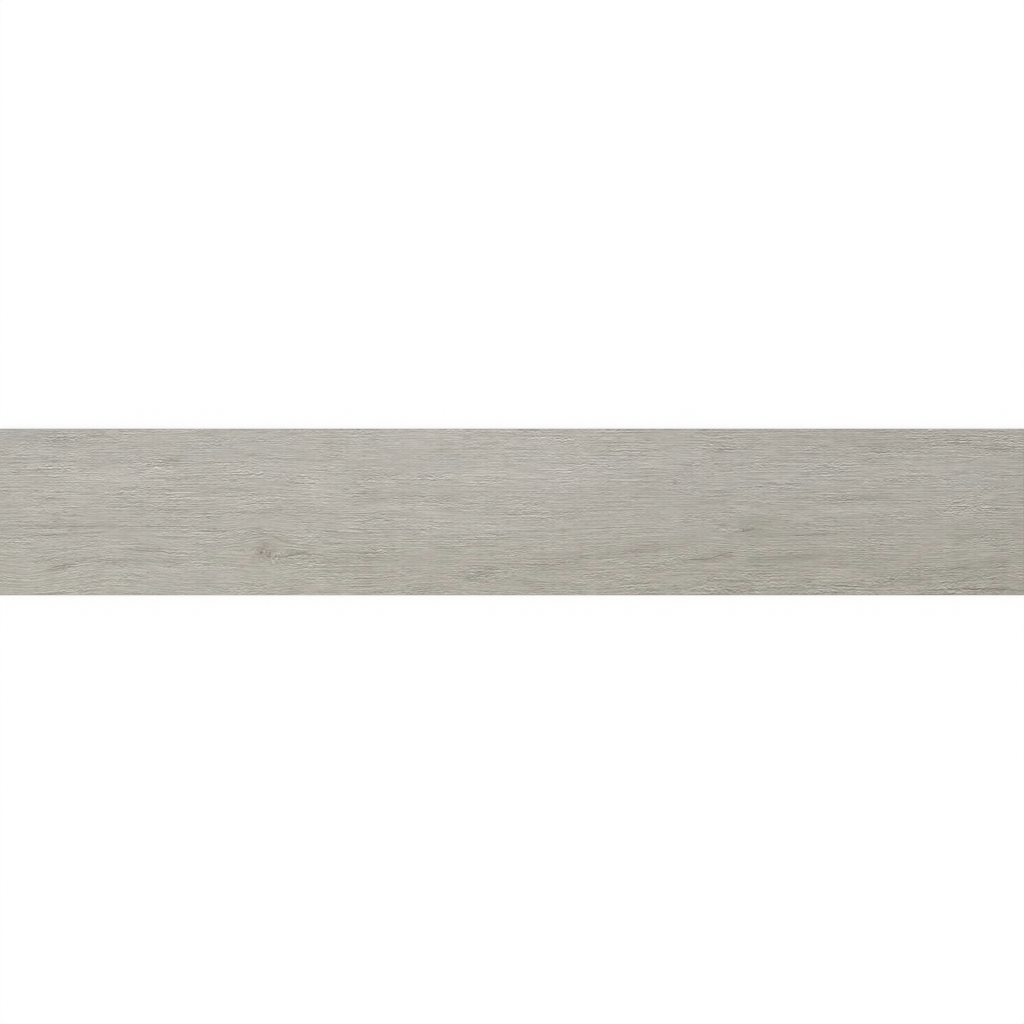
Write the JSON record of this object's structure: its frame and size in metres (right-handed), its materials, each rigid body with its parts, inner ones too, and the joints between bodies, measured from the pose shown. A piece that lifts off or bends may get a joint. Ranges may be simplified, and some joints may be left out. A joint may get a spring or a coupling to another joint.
{
  "type": "porcelain plank tile",
  "caption": "Long flat porcelain floor or wall tile with a matt wood-grain face, ground square edges, a fine bevel round the face and a keyed back with ribs for the adhesive.",
  "frame": {"origin": "middle of the back, level with the crests of its ribs", "axes": "+X along the plank and its grain, +Y across it, +Z out of the decorated face"},
  "size_m": [1.2, 0.195, 0.0095],
  "materials": {
    "wood_look_porcelain": "matt glaze, printed and embossed as brushed grey-beige oak; bare fired body on the edges and the back"
  },
  "bodies": {
    "root": {"plank_tile": "wood_look_porcelain"}
  },
  "joints": []
}
